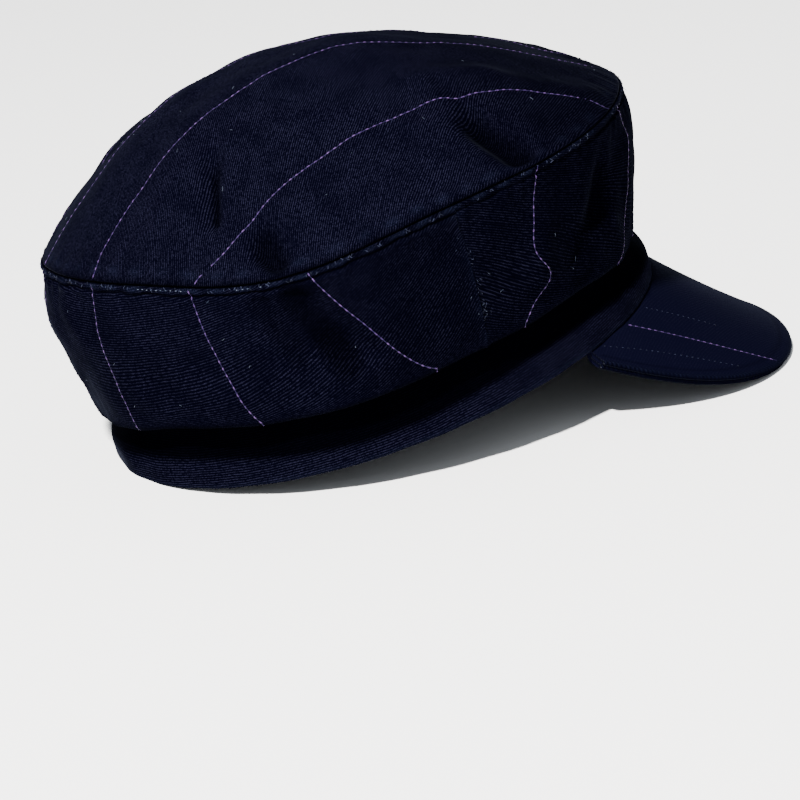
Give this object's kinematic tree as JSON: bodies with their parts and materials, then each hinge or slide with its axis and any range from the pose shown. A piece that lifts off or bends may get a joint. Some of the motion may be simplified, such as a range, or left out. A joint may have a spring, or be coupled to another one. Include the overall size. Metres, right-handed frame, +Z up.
{
  "type": "peaked denim cap",
  "caption": "Soft pinstriped denim cap with a full, puffed crown that droops over a plain headband, and a short sloping cloth peak in front.",
  "frame": {"origin": "middle of the cap's footprint box, on the surface that it rests on", "axes": "+X to the front, towards the peak; +Y to the wearer's left; +Z up"},
  "size_m": [0.2702, 0.1926, 0.1411],
  "materials": {
    "striped_denim": "very dark navy denim twill with thin broken lilac pinstripes",
    "band_denim": "very dark navy denim twill, plain",
    "peak_denim": "very dark navy denim twill, topstitched, with a thin purple stripe"
  },
  "bodies": {
    "root": {"crown_top": "striped_denim", "crown_side_front": "striped_denim", "crown_side_back": "striped_denim", "headband": "band_denim", "peak_upper": "peak_denim", "peak_under": "peak_denim"}
  },
  "joints": []
}
